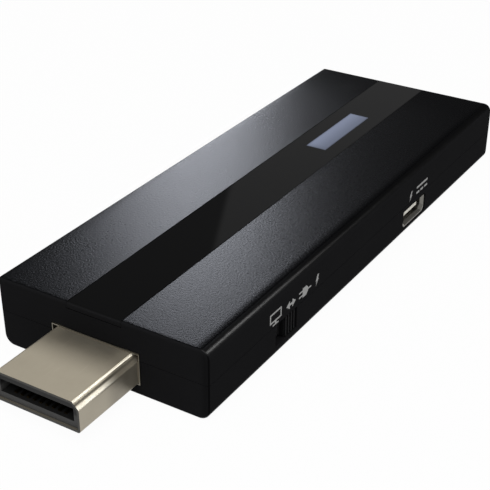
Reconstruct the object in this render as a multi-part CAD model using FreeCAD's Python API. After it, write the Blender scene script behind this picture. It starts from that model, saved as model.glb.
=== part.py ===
import FreeCAD, Part
import os

# Wireless display adapter: a slim moulded housing with an HDMI plug at its front end.
# X runs across the housing, Y from the plug to the far end and Z up, in millimetres.
# Every piece is drawn with the housing's front face at Y = 0 and its underside at Z = 0,
# and is moved at the end, so that the origin is under the middle of the whole adapter.

V = FreeCAD.Vector

# Housing: two moulded covers that meet at a seam half way up
body_width = 33.8
body_length = 91.1
body_height = 10.5
wall = 1.2
side_draft = 0.1
seam_rise = 0.25
right_edge_radius = 1.35
left_edge_radius = 0.3
bottom_edge_radius = 1.6
end_edge_radius = 0.4
least_radius = 0.15
seam_groove = 0.07
lip_height = 0.8
lip_clearance = 0.05

# Glossy strip and indicator window, on one line with the plug, left of the middle
line_offset = -0.75
strip_width = 8.8
strip_thickness = 0.8
strip_clearance = 0.05
tape_thickness = 0.15
tape_margin = 0.4
channel_web = 1.0
channel_shoulder = 1.2
window_width = 3.5
window_length = 15.6
window_place = 66.4
window_ledge = 0.3

# Light guide and the lamps under it
guide_flange = 0.4
guide_flange_thickness = 0.6
guide_clearance = 0.05
lamp_length = 1.6
lamp_width = 0.8
lamp_height = 0.6
lamp_spacing = 7.8
lamp_gap = 0.15
guide_leg_top = 3.0
guide_leg_bottom = 2.0

# HDMI plug, type A, drawn narrow side up as the adapter holds it
plug_reach = 12.0
plug_width = 13.9
plug_height = 4.45
plug_chamfer_run = 0.9
plug_chamfer_rise = 1.05
plug_drop = 1.15
plug_corner_radius = 0.4
plug_sheet = 0.35
plug_root = 3.2
plug_tab_length = 4.2
plug_tab_height = 1.6
latch_length = 2.2
latch_width = 1.4
latch_spacing = 6.4
latch_setback = 5.0
core_setback = 0.3
core_length = 15.5
core_slot_height = 1.9
core_slot_width = 11.7
core_slot_depth = 9.0
contact_width = 0.4
contact_thickness = 0.2
contact_pitch = 1.0
contact_setback = 0.6
contact_tail = 1.8
upper_contact_count = 10
lower_contact_count = 9
collar_rim = 0.15
collar_proud = 0.12
collar_depth = 1.3
collar_recess = 0.8
collar_edge_radius = 0.05
collar_clearance = 0.1

# Circuit board and the screws that hold it
board_lift = 0.75
board_thickness = 1.0
board_side_gap = 0.4
board_end_gap = 0.6
board_front_gap = 0.1
board_wing_start = 8.0
board_corner_radius = 0.6
notch_gap = 0.25
screw_inset = 2.8
front_screw_place = 10.0
rear_screw_place = 77.5
screw_radius = 0.7
screw_head_radius = 1.5
screw_crown_radius = 1.15
screw_head_height = 0.9
screw_recess_radius = 0.45
screw_recess_depth = 0.4
screw_hole_clearance = 0.1
screw_length = 3.2
boss_radius = 1.8
rest_length = 2.0
rest_width = 1.4
rest_places = (32.0, 70.0)
rib_thickness = 1.0
rib_width = 2.4

# Snap hooks of the upper cover and their pockets in the lower one
hook_places = (6.5, 40.0, 83.0)
hook_length = 4.0
hook_thickness = 0.8
hook_gap = 0.1
hook_reach = 2.9
hook_nose = 0.45
hook_nose_height = 1.1
hook_nose_flat = 0.4
hook_web_rise = 1.1
pocket_clearance = 0.1

# Slide switch on the right side
knob_place = 19.05
knob_width = 2.9
knob_travel = 2.3
knob_end_gap = 0.25
knob_gap = 0.2
knob_sunk = 0.3
knob_ridge_count = 4
knob_ridge_width = 0.3
knob_ridge_height = 0.22
slot_bottom = 2.0
flange_overlap = 0.4
flange_thickness = 0.6
flange_gap = 0.1
rail_gap = 0.1
switch_length = 9.0
switch_depth = 3.4
switch_height = 2.0
switch_sheet = 0.2
switch_gap = 0.3
switch_base_thickness = 0.5
actuator_width = 1.3
actuator_height = 0.8
actuator_block_length = 3.0
actuator_play = 0.05
socket_wall = 0.5
terminal_count = 3
terminal_pitch = 2.5
terminal_width = 0.6
terminal_thickness = 0.1
terminal_foot = 0.8

# Micro-USB receptacle on the right side, hung under the board
port_place = 59.9
port_width = 7.5
port_height = 2.45
port_depth = 5.4
port_sheet = 0.25
port_chamfer = 0.7
port_flare = 0.3
port_flare_length = 0.5
port_sunk = 0.15
port_tab_length = 1.5
port_tab_width = 1.0
port_hole_margin = 0.1
port_hole_radius = 0.6
tongue_width = 5.2
tongue_thickness = 0.6
tongue_setback = 0.7
tongue_rise = 0.1
port_core_depth = 1.2
pin_count = 5
pin_pitch = 0.65
pin_width = 0.35
pin_thickness = 0.12

# Electronics on the board: lengths run along Y, widths along X
can_edge_gap = 3.5
can_length = 30.0
can_height = 1.6
can_sheet = 0.2
can_offset = -0.5
can_place = 31.0
processor_size = 13.0
processor_height = 0.9
processor_place = 25.0
memory_width = 8.0
memory_length = 10.5
memory_height = 0.9
memory_spacing = 11.0
memory_place = 38.8
pad_size = 12.0
pad_thickness = 0.5
spreader_overhang = 0.5
spreader_thickness = 0.5
spreader_pin_radius = 0.7
spreader_pin_clearance = 0.1
spreader_pin_inset = 1.6
flash_width = 11.5
flash_length = 13.0
flash_height = 1.0
flash_place = 31.0
radio_width = 9.0
radio_length = 13.0
radio_board_thickness = 0.6
radio_can_height = 1.3
radio_can_inset = 0.5
radio_edge_gap = 1.3
radio_place = 58.5
coil_size = 4.0
coil_height = 1.8
coil_radius = 0.6
coil_edge_gap = 4.6
coil_first_place = 53.0
coil_pitch = 5.4
regulator_size = 3.0
regulator_height = 0.8
regulator_place = 64.2
crystal_width = 3.2
crystal_length = 2.5
crystal_height = 0.7
crystal_gap = 0.5
antenna_length = 9.0
antenna_width = 1.4
antenna_sheet = 0.3
antenna_rise = 2.2
antenna_leg = 1.0
antenna_leg_spacing = 3.0
antenna_edge_gap = 2.1
antenna_end_gap = 3.8
chip_cap_length = 1.0
chip_cap_width = 0.5
chip_cap_height = 0.5
chip_cap_pitch = 1.8
chip_cap_count = 8
chip_cap_rows = (13.2, 47.9, 74.5)

# Levels and lines worked out from the sizes above
past = 1.0
front_face = (plug_reach - body_length) / 2
seam_height = body_height / 2 + seam_rise
plug_axis_height = body_height / 2 - plug_drop
plug_bottom = plug_axis_height - plug_height / 2
plug_top = plug_axis_height + plug_height / 2
plug_side_top = plug_top - plug_chamfer_rise
collar_half = plug_width / 2 + collar_rim
inner_half = body_width / 2 - side_draft - wall
roof_inside = body_height - wall
channel_floor = body_height - strip_thickness - tape_thickness
band_bottom = channel_floor - channel_web
board_bottom = plug_axis_height + board_lift - board_thickness / 2
board_top = board_bottom + board_thickness
board_half = inner_half - board_side_gap
board_back = body_length - wall - board_end_gap
core_back = core_length - plug_reach + core_setback
board_front = core_back + board_front_gap
screw_line = inner_half - screw_inset
hook_outer = inner_half - hook_gap
hook_inner = hook_outer - hook_thickness
hook_bottom = seam_height - hook_reach
knob_rest = knob_place + knob_travel / 2
slot_length = knob_width + knob_travel + 2 * knob_end_gap
flange_length = slot_length + knob_travel
flange_outer = inner_half - flange_gap
flange_inner = flange_outer - flange_thickness
flange_bottom = slot_bottom - flange_overlap
sweep_half = (flange_length + knob_travel) / 2 + notch_gap
switch_front = flange_inner - socket_wall - switch_gap
switch_back = switch_front - switch_depth
switch_bottom = board_bottom - switch_height
actuator_height_centre = switch_bottom + switch_sheet + actuator_play + actuator_height / 2
port_axis_height = board_bottom - port_height / 2
side_at_port = body_width / 2 - side_draft * (1 - port_axis_height / body_height)
port_mouth = side_at_port - port_sunk
can_width = 2 * (board_half - can_edge_gap)
can_top = board_top + can_height
spreader_bottom = can_top + pad_thickness
spreader_width = can_width + 2 * spreader_overhang
spreader_length = can_length + 2 * spreader_overhang
radio_line = radio_edge_gap + radio_width / 2 - board_half
crystal_place = radio_place - radio_length / 2 - crystal_gap - crystal_length / 2
coil_line = board_half - coil_edge_gap - coil_size / 2
antenna_line = board_half - antenna_edge_gap - antenna_length / 2
antenna_place = board_back - antenna_end_gap - antenna_width / 2


def box(x0, x1, y0, y1, z0, z1):
    return Part.makeBox(x1 - x0, y1 - y0, z1 - z0, V(x0, y0, z0))


def block(x, y, z0, width, length, height):
    """A box centred on X and Y that stands on Z."""
    return box(x - width / 2, x + width / 2, y - length / 2, y + length / 2, z0, z0 + height)


def prism(points, along):
    return Part.Face(Part.makePolygon(points + [points[0]])).extrude(along)


def layer(z0, z1):
    """A slab wider than the housing, to keep or cut what lies between two heights."""
    return box(-body_width, body_width, -body_length, 2 * body_length, z0, z1)


def joined(shapes):
    first, rest = shapes[0], shapes[1:]
    return first.fuse(rest).removeSplitter() if rest else first


def rounded(shape, radius, pick):
    return shape.makeFillet(radius, [edge for edge in shape.Edges if pick(edge)])


def runs_along(edge, axis):
    size = edge.BoundBox
    spans = {"x": size.XLength, "y": size.YLength, "z": size.ZLength}
    return spans[axis] > 1e-4 and all(span < 1e-4 for name, span in spans.items() if name != axis)


def mirrored(shape):
    return shape.mirror(V(0, 0, 0), V(1, 0, 0))


def softened(form, radius, pick):
    """Rounds the picked edges, unless an inset has used their radius up and left them square."""
    return rounded(form, radius, pick) if radius > least_radius else form


def moulded_form(inset=0.0):
    """The closed housing's rounded form, or the same form drawn in all round by the inset."""
    top = body_width / 2 - inset
    bottom = top - side_draft
    low, high = inset, body_height - inset
    corners = [V(-bottom, inset, low), V(bottom, inset, low), V(top, inset, high), V(-top, inset, high)]
    form = prism(corners, V(0, body_length - 2 * inset, 0))
    for side, radius in ((1, right_edge_radius), (-1, left_edge_radius)):
        form = softened(form, radius - inset,
                        lambda edge: runs_along(edge, "y") and edge.CenterOfMass.z > high - 1e-3
                        and side * edge.CenterOfMass.x > top - 1e-3)
    form = softened(form, bottom_edge_radius - inset,
                    lambda edge: runs_along(edge, "y") and edge.CenterOfMass.z < low + 1e-3)
    return softened(form, end_edge_radius - inset, lambda edge: edge.BoundBox.YLength < 1e-4)


def band(outer_inset, inner_inset, z0, z1):
    """A ring between two insets of the housing's form, from one height to another."""
    return moulded_form(outer_inset).cut(moulded_form(inner_inset)).common(layer(z0, z1))


def plug_notch():
    """The space that both covers leave for the collar round the plug."""
    half = collar_half + collar_clearance
    margin = collar_rim + collar_clearance
    return box(line_offset - half, line_offset + half, -past, wall + past,
               plug_bottom - margin, plug_top + margin)


def hook_profile():
    nose_top = hook_bottom + hook_nose_height
    nose_low = nose_top - hook_nose_flat
    outline = [(hook_inner, hook_bottom), (hook_outer, hook_bottom), (hook_outer + hook_nose, nose_low),
               (hook_outer + hook_nose, nose_top), (hook_outer, nose_top),
               (hook_outer, seam_height + hook_web_rise),
               (inner_half + wall / 2, seam_height + hook_web_rise),
               (inner_half + wall / 2, roof_inside), (hook_inner, roof_inside + wall / 3)]
    return [V(x, 0, z) for x, z in outline]


def snap_hook(place):
    hook = prism(hook_profile(), V(0, hook_length, 0))
    hook.translate(V(0, place - hook_length / 2, 0))
    return hook


def catch_pocket(place):
    """The pocket in the lower cover's wall that a hook's nose snaps into."""
    half = hook_length / 2 + pocket_clearance
    nose_top = hook_bottom + hook_nose_height
    return box(inner_half - past, hook_outer + hook_nose + pocket_clearance, place - half, place + half,
               hook_bottom - pocket_clearance, nose_top + pocket_clearance)


def both_sides(shapes):
    return shapes + [mirrored(shape) for shape in shapes]


def screw_spots():
    places = (front_screw_place, rear_screw_place)
    return [(side * screw_line, place) for place in places for side in (-1, 1)]


def screw_boss(x, y):
    boss = Part.makeCylinder(boss_radius, board_bottom - wall / 2, V(x, y, wall / 2))
    pilot_depth = screw_length - board_thickness + screw_hole_clearance
    pilot = Part.makeCylinder(screw_radius + screw_hole_clearance / 2, pilot_depth + past,
                              V(x, y, board_bottom - pilot_depth))
    return boss, pilot


def board_rest(place):
    """A pad on the lower cover's wall that carries the board's edge."""
    y0, y1 = place - rest_length / 2, place + rest_length / 2
    return box(inner_half - rest_width, inner_half + wall / 2, y0, y1, wall / 2, board_bottom)


def knob_rail():
    """The ledge that the knob's flange slides on, just inside the right wall."""
    return box(flange_inner - wall / 2, inner_half + wall / 2,
               knob_place - sweep_half, knob_place + sweep_half, wall / 2, flange_bottom - rail_gap)


def port_cradle():
    """A rib on the floor that backs the receptacle when a plug is pushed in."""
    inner = port_mouth - port_depth
    return box(inner, inner + port_depth / 2, port_place - port_width / 2 + port_chamfer,
               port_place + port_width / 2 - port_chamfer, wall / 2, port_axis_height - port_height / 2)


def knob_slot():
    return box(inner_half - past, body_width, knob_place - slot_length / 2, knob_place + slot_length / 2,
               slot_bottom, seam_height + lip_height + past)


def port_hole():
    half = port_width / 2 + port_flare + port_hole_margin
    rise = port_height / 2 + port_flare + port_hole_margin
    hole = box(inner_half - past, body_width, port_place - half, port_place + half,
               port_axis_height - rise, port_axis_height + rise)
    return rounded(hole, port_hole_radius, lambda edge: runs_along(edge, "x"))


def lower_cover():
    shell = moulded_form().common(layer(-past, seam_height)).cut(moulded_form(wall))
    shell = shell.cut(band(0.0, seam_groove, seam_height - seam_groove, seam_height))
    lip = band(wall / 2 + lip_clearance, wall, seam_height - seam_groove, seam_height + lip_height)
    bosses, pilots = zip(*[screw_boss(x, y) for x, y in screw_spots()])
    rests = both_sides([board_rest(place) for place in rest_places])
    shell = joined([shell, lip, knob_rail(), port_cradle()] + list(bosses) + rests)
    lip_gap = box(0, body_width, knob_place - sweep_half, knob_place + sweep_half,
                  seam_height, seam_height + lip_height + past)
    pockets = both_sides([catch_pocket(place) for place in hook_places])
    return shell.cut([plug_notch(), knob_slot(), port_hole(), lip_gap] + list(pilots) + pockets)


def channel():
    """The groove along the top that takes the strip and its tape."""
    half = strip_width / 2 + strip_clearance
    return box(line_offset - half, line_offset + half, -past, body_length + past,
               channel_floor, body_height + past)


def channel_band():
    """The thicker roof under the channel."""
    half = strip_width / 2 + channel_shoulder
    return box(line_offset - half, line_offset + half, wall / 2, body_length - wall / 2,
               band_bottom, channel_floor)


def hold_down_rib(place):
    """A rib that presses the board's edge onto the rest below it, clear of the lower cover's lip."""
    y0, y1 = place - rib_thickness / 2, place + rib_thickness / 2
    leg = box(inner_half - rib_width, hook_outer, y0, y1, board_top, roof_inside + wall / 3)
    root = box(hook_outer, inner_half + wall / 3, y0, y1, seam_height + hook_web_rise, roof_inside + wall / 3)
    return leg.fuse(root)


def spreader_spots():
    across = spreader_width / 2 - spreader_pin_inset
    along = spreader_length / 2 - spreader_pin_inset
    return [(can_offset - across, can_place - along), (can_offset + across, can_place + along)]


def spreader_pin(x, y):
    low = spreader_bottom
    return Part.makeCylinder(spreader_pin_radius, roof_inside + wall / 3 - low, V(x, y, low))


def guide_hole():
    half = window_width / 2 - window_ledge + guide_clearance
    reach = window_length / 2 - window_ledge + guide_clearance
    return box(line_offset - half, line_offset + half, window_place - reach, window_place + reach,
               band_bottom - past, body_height)


def upper_cover():
    shell = moulded_form().common(layer(seam_height, body_height + past)).cut(moulded_form(wall))
    rebate_top = seam_height + lip_height + lip_clearance
    shell = shell.cut(moulded_form(wall / 2).common(layer(seam_height - past, rebate_top)))
    hooks = both_sides([snap_hook(place) for place in hook_places])
    ribs = both_sides([hold_down_rib(place) for place in rest_places])
    pins = [spreader_pin(x, y) for x, y in spreader_spots()]
    shell = joined([shell, channel_band()] + hooks + ribs + pins)
    return shell.cut([channel(), plug_notch(), guide_hole()])


def window_opening(clearance, z0, z1):
    half = window_width / 2 + clearance
    reach = window_length / 2 + clearance
    return box(line_offset - half, line_offset + half, window_place - reach, window_place + reach, z0, z1)


def centre_strip():
    """The glossy inlay: a slice of the housing's own form, so its ends are rounded like the cover's."""
    half = strip_width / 2
    slice_ = box(line_offset - half, line_offset + half, -past, body_length + past,
                 channel_floor + tape_thickness, body_height + past)
    strip = moulded_form().common(slice_)
    return strip.cut(window_opening(strip_clearance, channel_floor, body_height + past))


def strip_tape():
    half = strip_width / 2 - tape_margin
    tape = box(line_offset - half, line_offset + half, tape_margin, body_length - tape_margin,
               channel_floor, channel_floor + tape_thickness)
    return tape.cut(window_opening(strip_clearance, channel_floor - past, body_height))


def indicator_window():
    return window_opening(0.0, channel_floor, body_height)


def lamp_spots():
    return [(line_offset, window_place + side * lamp_spacing / 2) for side in (-1, 1)]


def light_guide():
    """Clear guide: a head in the roof's hole, a flange under the roof and a tapered leg over each lamp."""
    half = window_width / 2 - window_ledge
    reach = window_length / 2 - window_ledge
    head = box(line_offset - half, line_offset + half, window_place - reach, window_place + reach,
               band_bottom, channel_floor)
    flange_low = band_bottom - guide_flange_thickness
    flange = block(line_offset, window_place, flange_low, window_width + 2 * guide_flange,
                   window_length + 2 * guide_flange, guide_flange_thickness)
    legs = []
    for x, y in lamp_spots():
        foot = board_top + lamp_height + lamp_gap
        leg = [rectangle(x, y, foot, guide_leg_bottom, guide_leg_bottom),
               rectangle(x, y, flange_low, guide_leg_top, guide_leg_top)]
        legs.append(Part.makeLoft(leg, True, True))
    return joined([head, flange] + legs)


def rectangle(x, y, z, width, length):
    corners = [V(x - width / 2, y - length / 2, z), V(x + width / 2, y - length / 2, z),
               V(x + width / 2, y + length / 2, z), V(x - width / 2, y + length / 2, z)]
    return Part.makePolygon(corners + [corners[0]])


def status_lamps():
    return Part.makeCompound([block(x, y, board_top, lamp_width, lamp_length, lamp_height)
                              for x, y in lamp_spots()])


def plug_form(inset, y0, y1):
    """The plug's section, wide below and with its two upper corners cut off, drawn in by the inset."""
    half = plug_width / 2 - inset
    low, high = plug_bottom + inset, plug_top - inset
    slope = (plug_chamfer_run ** 2 + plug_chamfer_rise ** 2) ** 0.5
    run = plug_chamfer_run + inset * (slope - plug_chamfer_rise - plug_chamfer_run) / plug_chamfer_rise
    rise = run * plug_chamfer_rise / plug_chamfer_run
    outline = [(-half, low), (half, low), (half, high - rise), (half - run, high),
               (run - half, high), (-half, high - rise)]
    form = prism([V(line_offset + x, y0, z) for x, z in outline], V(0, y1 - y0, 0))
    return rounded(form, plug_corner_radius - inset / 2, lambda edge: runs_along(edge, "y"))


def hdmi_shell():
    """Folded sheet shell, open at the mouth, with two latch windows below and two tabs beside the board."""
    hollow = plug_form(plug_sheet, -plug_reach - past, plug_root + past)
    shell = plug_form(0.0, -plug_reach, plug_root).cut(hollow)
    windows = [block(line_offset + side * latch_spacing / 2, latch_setback - plug_reach, plug_bottom - past,
                     latch_width, latch_length, past + plug_sheet + contact_thickness) for side in (-1, 1)]
    tabs = []
    for side in (-1, 1):
        x = line_offset + side * (plug_width - plug_sheet) / 2
        y = plug_root - plug_sheet + plug_tab_length / 2
        tabs.append(block(x, y, plug_side_top - plug_tab_height,
                          plug_sheet, plug_tab_length, plug_tab_height))
    return joined([shell] + tabs).cut(windows)


def contact(x, side):
    """One spring contact: a flat blade in the slot's wall and a tail that steps onto the board.

    The side is 1 for the row above the board and -1 for the row below it."""
    start = contact_setback + core_setback - plug_reach
    end = core_back + board_front_gap + contact_tail
    level = core_slot_height / 2 - contact_thickness
    surface = board_thickness / 2 + side * board_lift
    near, far = core_back - contact_thickness, core_back
    if surface > level:
        near, far = far, near
    outline = [(start, level), (near, level), (near, surface), (end, surface),
               (end, surface + contact_thickness), (far, surface + contact_thickness),
               (far, level + contact_thickness), (start, level + contact_thickness)]
    points = [V(x - contact_width / 2, y, plug_axis_height + side * z) for y, z in outline]
    return prism(points, V(contact_width, 0, 0))


def contact_row(count, side):
    first = line_offset - (count - 1) * contact_pitch / 2
    return [contact(first + i * contact_pitch, side) for i in range(count)]


def hdmi_core():
    """Moulded insulator inside the shell, with the slot for the socket's tongue and a groove per contact."""
    start = core_setback - plug_reach
    core = plug_form(plug_sheet, start, core_back)
    slot = block(line_offset, start + (core_slot_depth - past) / 2, plug_axis_height - core_slot_height / 2,
                 core_slot_width, core_slot_depth + past, core_slot_height)
    clear = box(line_offset - plug_width, line_offset + plug_width, plug_root, core_back + past,
                plug_side_top, body_height)
    contacts = contact_row(upper_contact_count, 1) + contact_row(lower_contact_count, -1)
    return core.cut([slot, clear] + contacts)


def hdmi_collar():
    """Square-cornered plate in the covers' notch round the plug, with a thin rim and a sunk middle."""
    plate = box(line_offset - collar_half, line_offset + collar_half,
                -collar_proud, collar_depth - collar_proud, plug_bottom - collar_rim, plug_top + collar_rim)
    plate = rounded(plate, collar_edge_radius, lambda edge: edge.BoundBox.YMax < 0)
    sunk = box(line_offset - plug_width / 2, line_offset + plug_width / 2,
               -past, collar_recess - collar_proud, plug_bottom, plug_top)
    return plate.cut([sunk, plug_form(0.0, -plug_reach, plug_root)])


def circuit_board():
    """Board with a tongue between the plug's tabs and notches for the hooks and the knob."""
    board = box(-board_half, board_half, board_front, board_back, board_bottom, board_top)
    tongue = plug_width / 2 - plug_sheet
    wings = [box(-body_width, line_offset - tongue, -past, board_wing_start, 0, body_height),
             box(line_offset + tongue, body_width, -past, board_wing_start, 0, body_height)]
    half = hook_length / 2 + notch_gap
    hooks = both_sides([box(hook_inner - notch_gap, body_width, place - half, place + half, 0, body_height)
                        for place in hook_places])
    knob = box(flange_inner - socket_wall - notch_gap, body_width,
               knob_place - sweep_half, knob_place + sweep_half, 0, body_height)
    holes = [Part.makeCylinder(screw_radius + screw_hole_clearance, body_height, V(x, y, 0))
             for x, y in screw_spots()]
    board = board.cut(wings + hooks + [knob] + holes)
    return rounded(board, board_corner_radius,
                   lambda edge: runs_along(edge, "z") and edge.CenterOfMass.y > board_back - 1e-3)


def board_screws():
    screws = []
    for x, y in screw_spots():
        shank = Part.makeCylinder(screw_radius, screw_length, V(x, y, board_top - screw_length))
        head = Part.makeCone(screw_head_radius, screw_crown_radius, screw_head_height, V(x, y, board_top))
        recess = Part.makeCylinder(screw_recess_radius, screw_recess_depth + past,
                                   V(x, y, board_top + screw_head_height - screw_recess_depth))
        screws.append(joined([shank, head]).cut(recess))
    return Part.makeCompound(screws)


def shield_can():
    can = block(can_offset, can_place, board_top, can_width, can_length, can_height)
    inside = block(can_offset, can_place, board_top - past, can_width - 2 * can_sheet,
                   can_length - 2 * can_sheet, can_height - can_sheet + past)
    return can.cut(inside)


def processor():
    return block(can_offset, processor_place, board_top, processor_size, processor_size, processor_height)


def memory_chips():
    return Part.makeCompound([block(can_offset + side * memory_spacing / 2, memory_place, board_top,
                                    memory_width, memory_length, memory_height) for side in (-1, 1)])


def thermal_pads():
    """One pad between the processor and the can's lid, and one between the lid and the heat spreader."""
    processor_top = board_top + processor_height
    lower = block(can_offset, processor_place, processor_top, pad_size, pad_size,
                  can_top - can_sheet - processor_top)
    upper = block(can_offset, processor_place, can_top, pad_size, pad_size, pad_thickness)
    return Part.makeCompound([lower, upper])


def heat_spreader():
    plate = block(can_offset, can_place, spreader_bottom, spreader_width, spreader_length, spreader_thickness)
    holes = [Part.makeCylinder(spreader_pin_radius + spreader_pin_clearance, body_height, V(x, y, 0))
             for x, y in spreader_spots()]
    return plate.cut(holes)


def flash_memory():
    return block(line_offset, flash_place, board_bottom - flash_height,
                 flash_width, flash_length, flash_height)


def radio_module():
    return block(radio_line, radio_place, board_top, radio_width, radio_length, radio_board_thickness)


def radio_shield():
    base = board_top + radio_board_thickness
    width, length = radio_width - 2 * radio_can_inset, radio_length - 2 * radio_can_inset
    can = block(radio_line, radio_place, base, width, length, radio_can_height)
    inside = block(radio_line, radio_place, base - past, width - 2 * can_sheet, length - 2 * can_sheet,
                   radio_can_height - can_sheet + past)
    return can.cut(inside)


def power_coils():
    coils = []
    for i in range(2):
        place = coil_first_place + i * coil_pitch
        coil = block(coil_line, place, board_top, coil_size, coil_size, coil_height)
        coils.append(rounded(coil, coil_radius, lambda edge: runs_along(edge, "z")))
    return Part.makeCompound(coils)


def power_regulator():
    return block(coil_line, regulator_place, board_top, regulator_size, regulator_size, regulator_height)


def crystal():
    can = block(radio_line, crystal_place, board_top, crystal_width, crystal_length, crystal_height)
    return rounded(can, crystal_height / 2, lambda edge: runs_along(edge, "z"))


def radio_antennas():
    """Two stamped inverted-F antennas: an arm held over the board's far end by two legs."""
    antennas = []
    for side in (-1, 1):
        x = side * antenna_line
        arm = block(x, antenna_place, board_top + antenna_rise, antenna_length, antenna_width, antenna_sheet)
        far = x + side * (antenna_length - antenna_leg) / 2
        back = antenna_place + (antenna_width - antenna_sheet) / 2
        legs = [block(far - side * i * antenna_leg_spacing, back, board_top,
                      antenna_leg, antenna_sheet, antenna_rise) for i in range(2)]
        antennas.append(joined([arm] + legs))
    return Part.makeCompound(antennas)


def chip_capacitors():
    first = line_offset - (chip_cap_count - 1) * chip_cap_pitch / 2
    chips = []
    for place in chip_cap_rows:
        for i in range(chip_cap_count):
            chips.append(block(first + i * chip_cap_pitch, place, board_top,
                               chip_cap_width, chip_cap_length, chip_cap_height))
    return Part.makeCompound(chips)


def switch_frame():
    """Folded cover of the slide switch: open towards the board, slotted in front for the lever."""
    frame = box(switch_back, switch_front, knob_place - switch_length / 2, knob_place + switch_length / 2,
                switch_bottom, board_bottom)
    inside = box(switch_back + switch_sheet, switch_front - switch_sheet,
                 knob_place - switch_length / 2 + switch_sheet, knob_place + switch_length / 2 - switch_sheet,
                 switch_bottom + switch_sheet, board_bottom + past)
    half = (actuator_width + knob_travel) / 2 + 2 * actuator_play
    lever_slot = box(switch_front - 2 * switch_sheet, switch_front + past,
                     knob_place - half, knob_place + half,
                     actuator_height_centre - actuator_height / 2 - actuator_play,
                     actuator_height_centre + actuator_height / 2 + actuator_play)
    return frame.cut([inside, lever_slot] + terminals())


def switch_base():
    base = box(switch_back + switch_sheet, switch_front - switch_sheet,
               knob_place - switch_length / 2 + switch_sheet, knob_place + switch_length / 2 - switch_sheet,
               board_bottom - switch_base_thickness, board_bottom)
    return base.cut(terminals())


def terminals():
    """Three flat terminals: each lies on the base's underside and its foot reaches the board behind."""
    low = board_bottom - switch_base_thickness
    foot_back = switch_back - terminal_foot
    pieces = []
    for i in range(terminal_count):
        y = knob_place + (i - (terminal_count - 1) / 2) * terminal_pitch
        y0, y1 = y - terminal_width / 2, y + terminal_width / 2
        blade = box(foot_back, switch_front - switch_depth / 2, y0, y1, low - terminal_thickness, low)
        foot = box(foot_back, foot_back + terminal_thickness, y0, y1,
                   low - terminal_thickness, board_bottom)
        pieces.append(joined([blade, foot]))
    return pieces


def switch_terminals():
    return Part.makeCompound(terminals())


def lever_end(clearance):
    """The stub of the lever that drives the knob, or the space for it when a clearance is given."""
    half = actuator_width / 2 + clearance
    rise = actuator_height / 2 + clearance
    return box(switch_front - 2 * switch_sheet, flange_inner + flange_thickness / 2 + clearance,
               knob_rest - half, knob_rest + half,
               actuator_height_centre - rise, actuator_height_centre + rise)


def switch_lever():
    shoe = block((switch_back + switch_front) / 2, knob_rest, actuator_height_centre - actuator_height / 2,
                 switch_depth - 2 * switch_sheet - 4 * actuator_play, actuator_block_length, actuator_height)
    return joined([shoe, lever_end(0.0)])


def switch_knob():
    """Ridged finger knob with a flange behind the wall and a socket for the switch's lever."""
    low, high = slot_bottom + knob_gap, seam_height - knob_gap
    face_outer = body_width / 2 - side_draft - knob_sunk
    face = box(flange_inner, face_outer, knob_rest - knob_width / 2, knob_rest + knob_width / 2, low, high)
    flange = box(flange_inner, flange_outer, knob_rest - flange_length / 2, knob_rest + flange_length / 2,
                 flange_bottom, seam_height + flange_overlap)
    socket_half = actuator_width / 2 + socket_wall
    socket_rise = actuator_height / 2 + socket_wall
    socket = box(flange_inner - socket_wall, flange_inner, knob_rest - socket_half, knob_rest + socket_half,
                 actuator_height_centre - socket_rise, actuator_height_centre + socket_rise)
    pitch = knob_width / knob_ridge_count
    ridges = [box(face_outer - knob_ridge_height, face_outer + knob_ridge_height,
                  knob_rest + (i - (knob_ridge_count - 1) / 2) * pitch - knob_ridge_width / 2,
                  knob_rest + (i - (knob_ridge_count - 1) / 2) * pitch + knob_ridge_width / 2, low, high)
              for i in range(knob_ridge_count)]
    return joined([face, flange, socket] + ridges).cut(lever_end(actuator_play))


def port_section(x, grow):
    """The receptacle's section at X, with its two lower corners cut off, let out by the given amount."""
    half = port_width / 2 + grow
    low = port_axis_height - port_height / 2 - grow
    high = port_axis_height + port_height / 2 + grow
    outline = [(-half, high), (half, high), (half, low + port_chamfer), (half - port_chamfer, low),
               (port_chamfer - half, low), (-half, low + port_chamfer)]
    points = [V(x, port_place + y, z) for y, z in outline]
    return Part.makePolygon(points + [points[0]])


def port_body(grow, back, mouth):
    """The receptacle's outer or inner form: a straight length and then a flared mouth."""
    neck = port_mouth - port_flare_length
    straight = Part.Face(port_section(back, grow)).extrude(V(neck - back, 0, 0))
    flare = Part.makeLoft([port_section(neck, grow), port_section(mouth, grow + port_flare)], True, True)
    return straight.fuse(flare)


def usb_shell():
    back = port_mouth - port_depth
    shell = port_body(0.0, back, port_mouth).cut(port_body(-port_sheet, back - past, port_mouth))
    shell = shell.common(box(0, body_width, 0, body_length, 0, board_bottom))
    tabs = [block(back + port_depth / 2, port_place + side * (port_width + port_tab_width) / 2,
                  board_bottom - port_sheet, port_tab_length, port_tab_width, port_sheet) for side in (-1, 1)]
    return joined([shell] + tabs)


def usb_pins():
    back = port_mouth - port_depth
    level = port_axis_height + tongue_rise + tongue_thickness / 2
    first = port_place - (pin_count - 1) * pin_pitch / 2
    return [box(back, port_mouth - tongue_setback - pin_thickness, first + i * pin_pitch - pin_width / 2,
                first + i * pin_pitch + pin_width / 2, level - pin_thickness / 2, level + pin_thickness / 2)
            for i in range(pin_count)]


def usb_core():
    """Moulded insulator of the receptacle: a block at the back and the tongue."""
    back = port_mouth - port_depth
    plug = port_body(-port_sheet, back, port_mouth).common(box(back, back + port_core_depth, 0, body_length,
                                                              0, body_height))
    tongue = block(back + (port_depth - tongue_setback) / 2, port_place,
                   port_axis_height + tongue_rise - tongue_thickness / 2,
                   port_depth - tongue_setback, tongue_width, tongue_thickness)
    return joined([plug, tongue]).cut(usb_pins())


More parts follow.
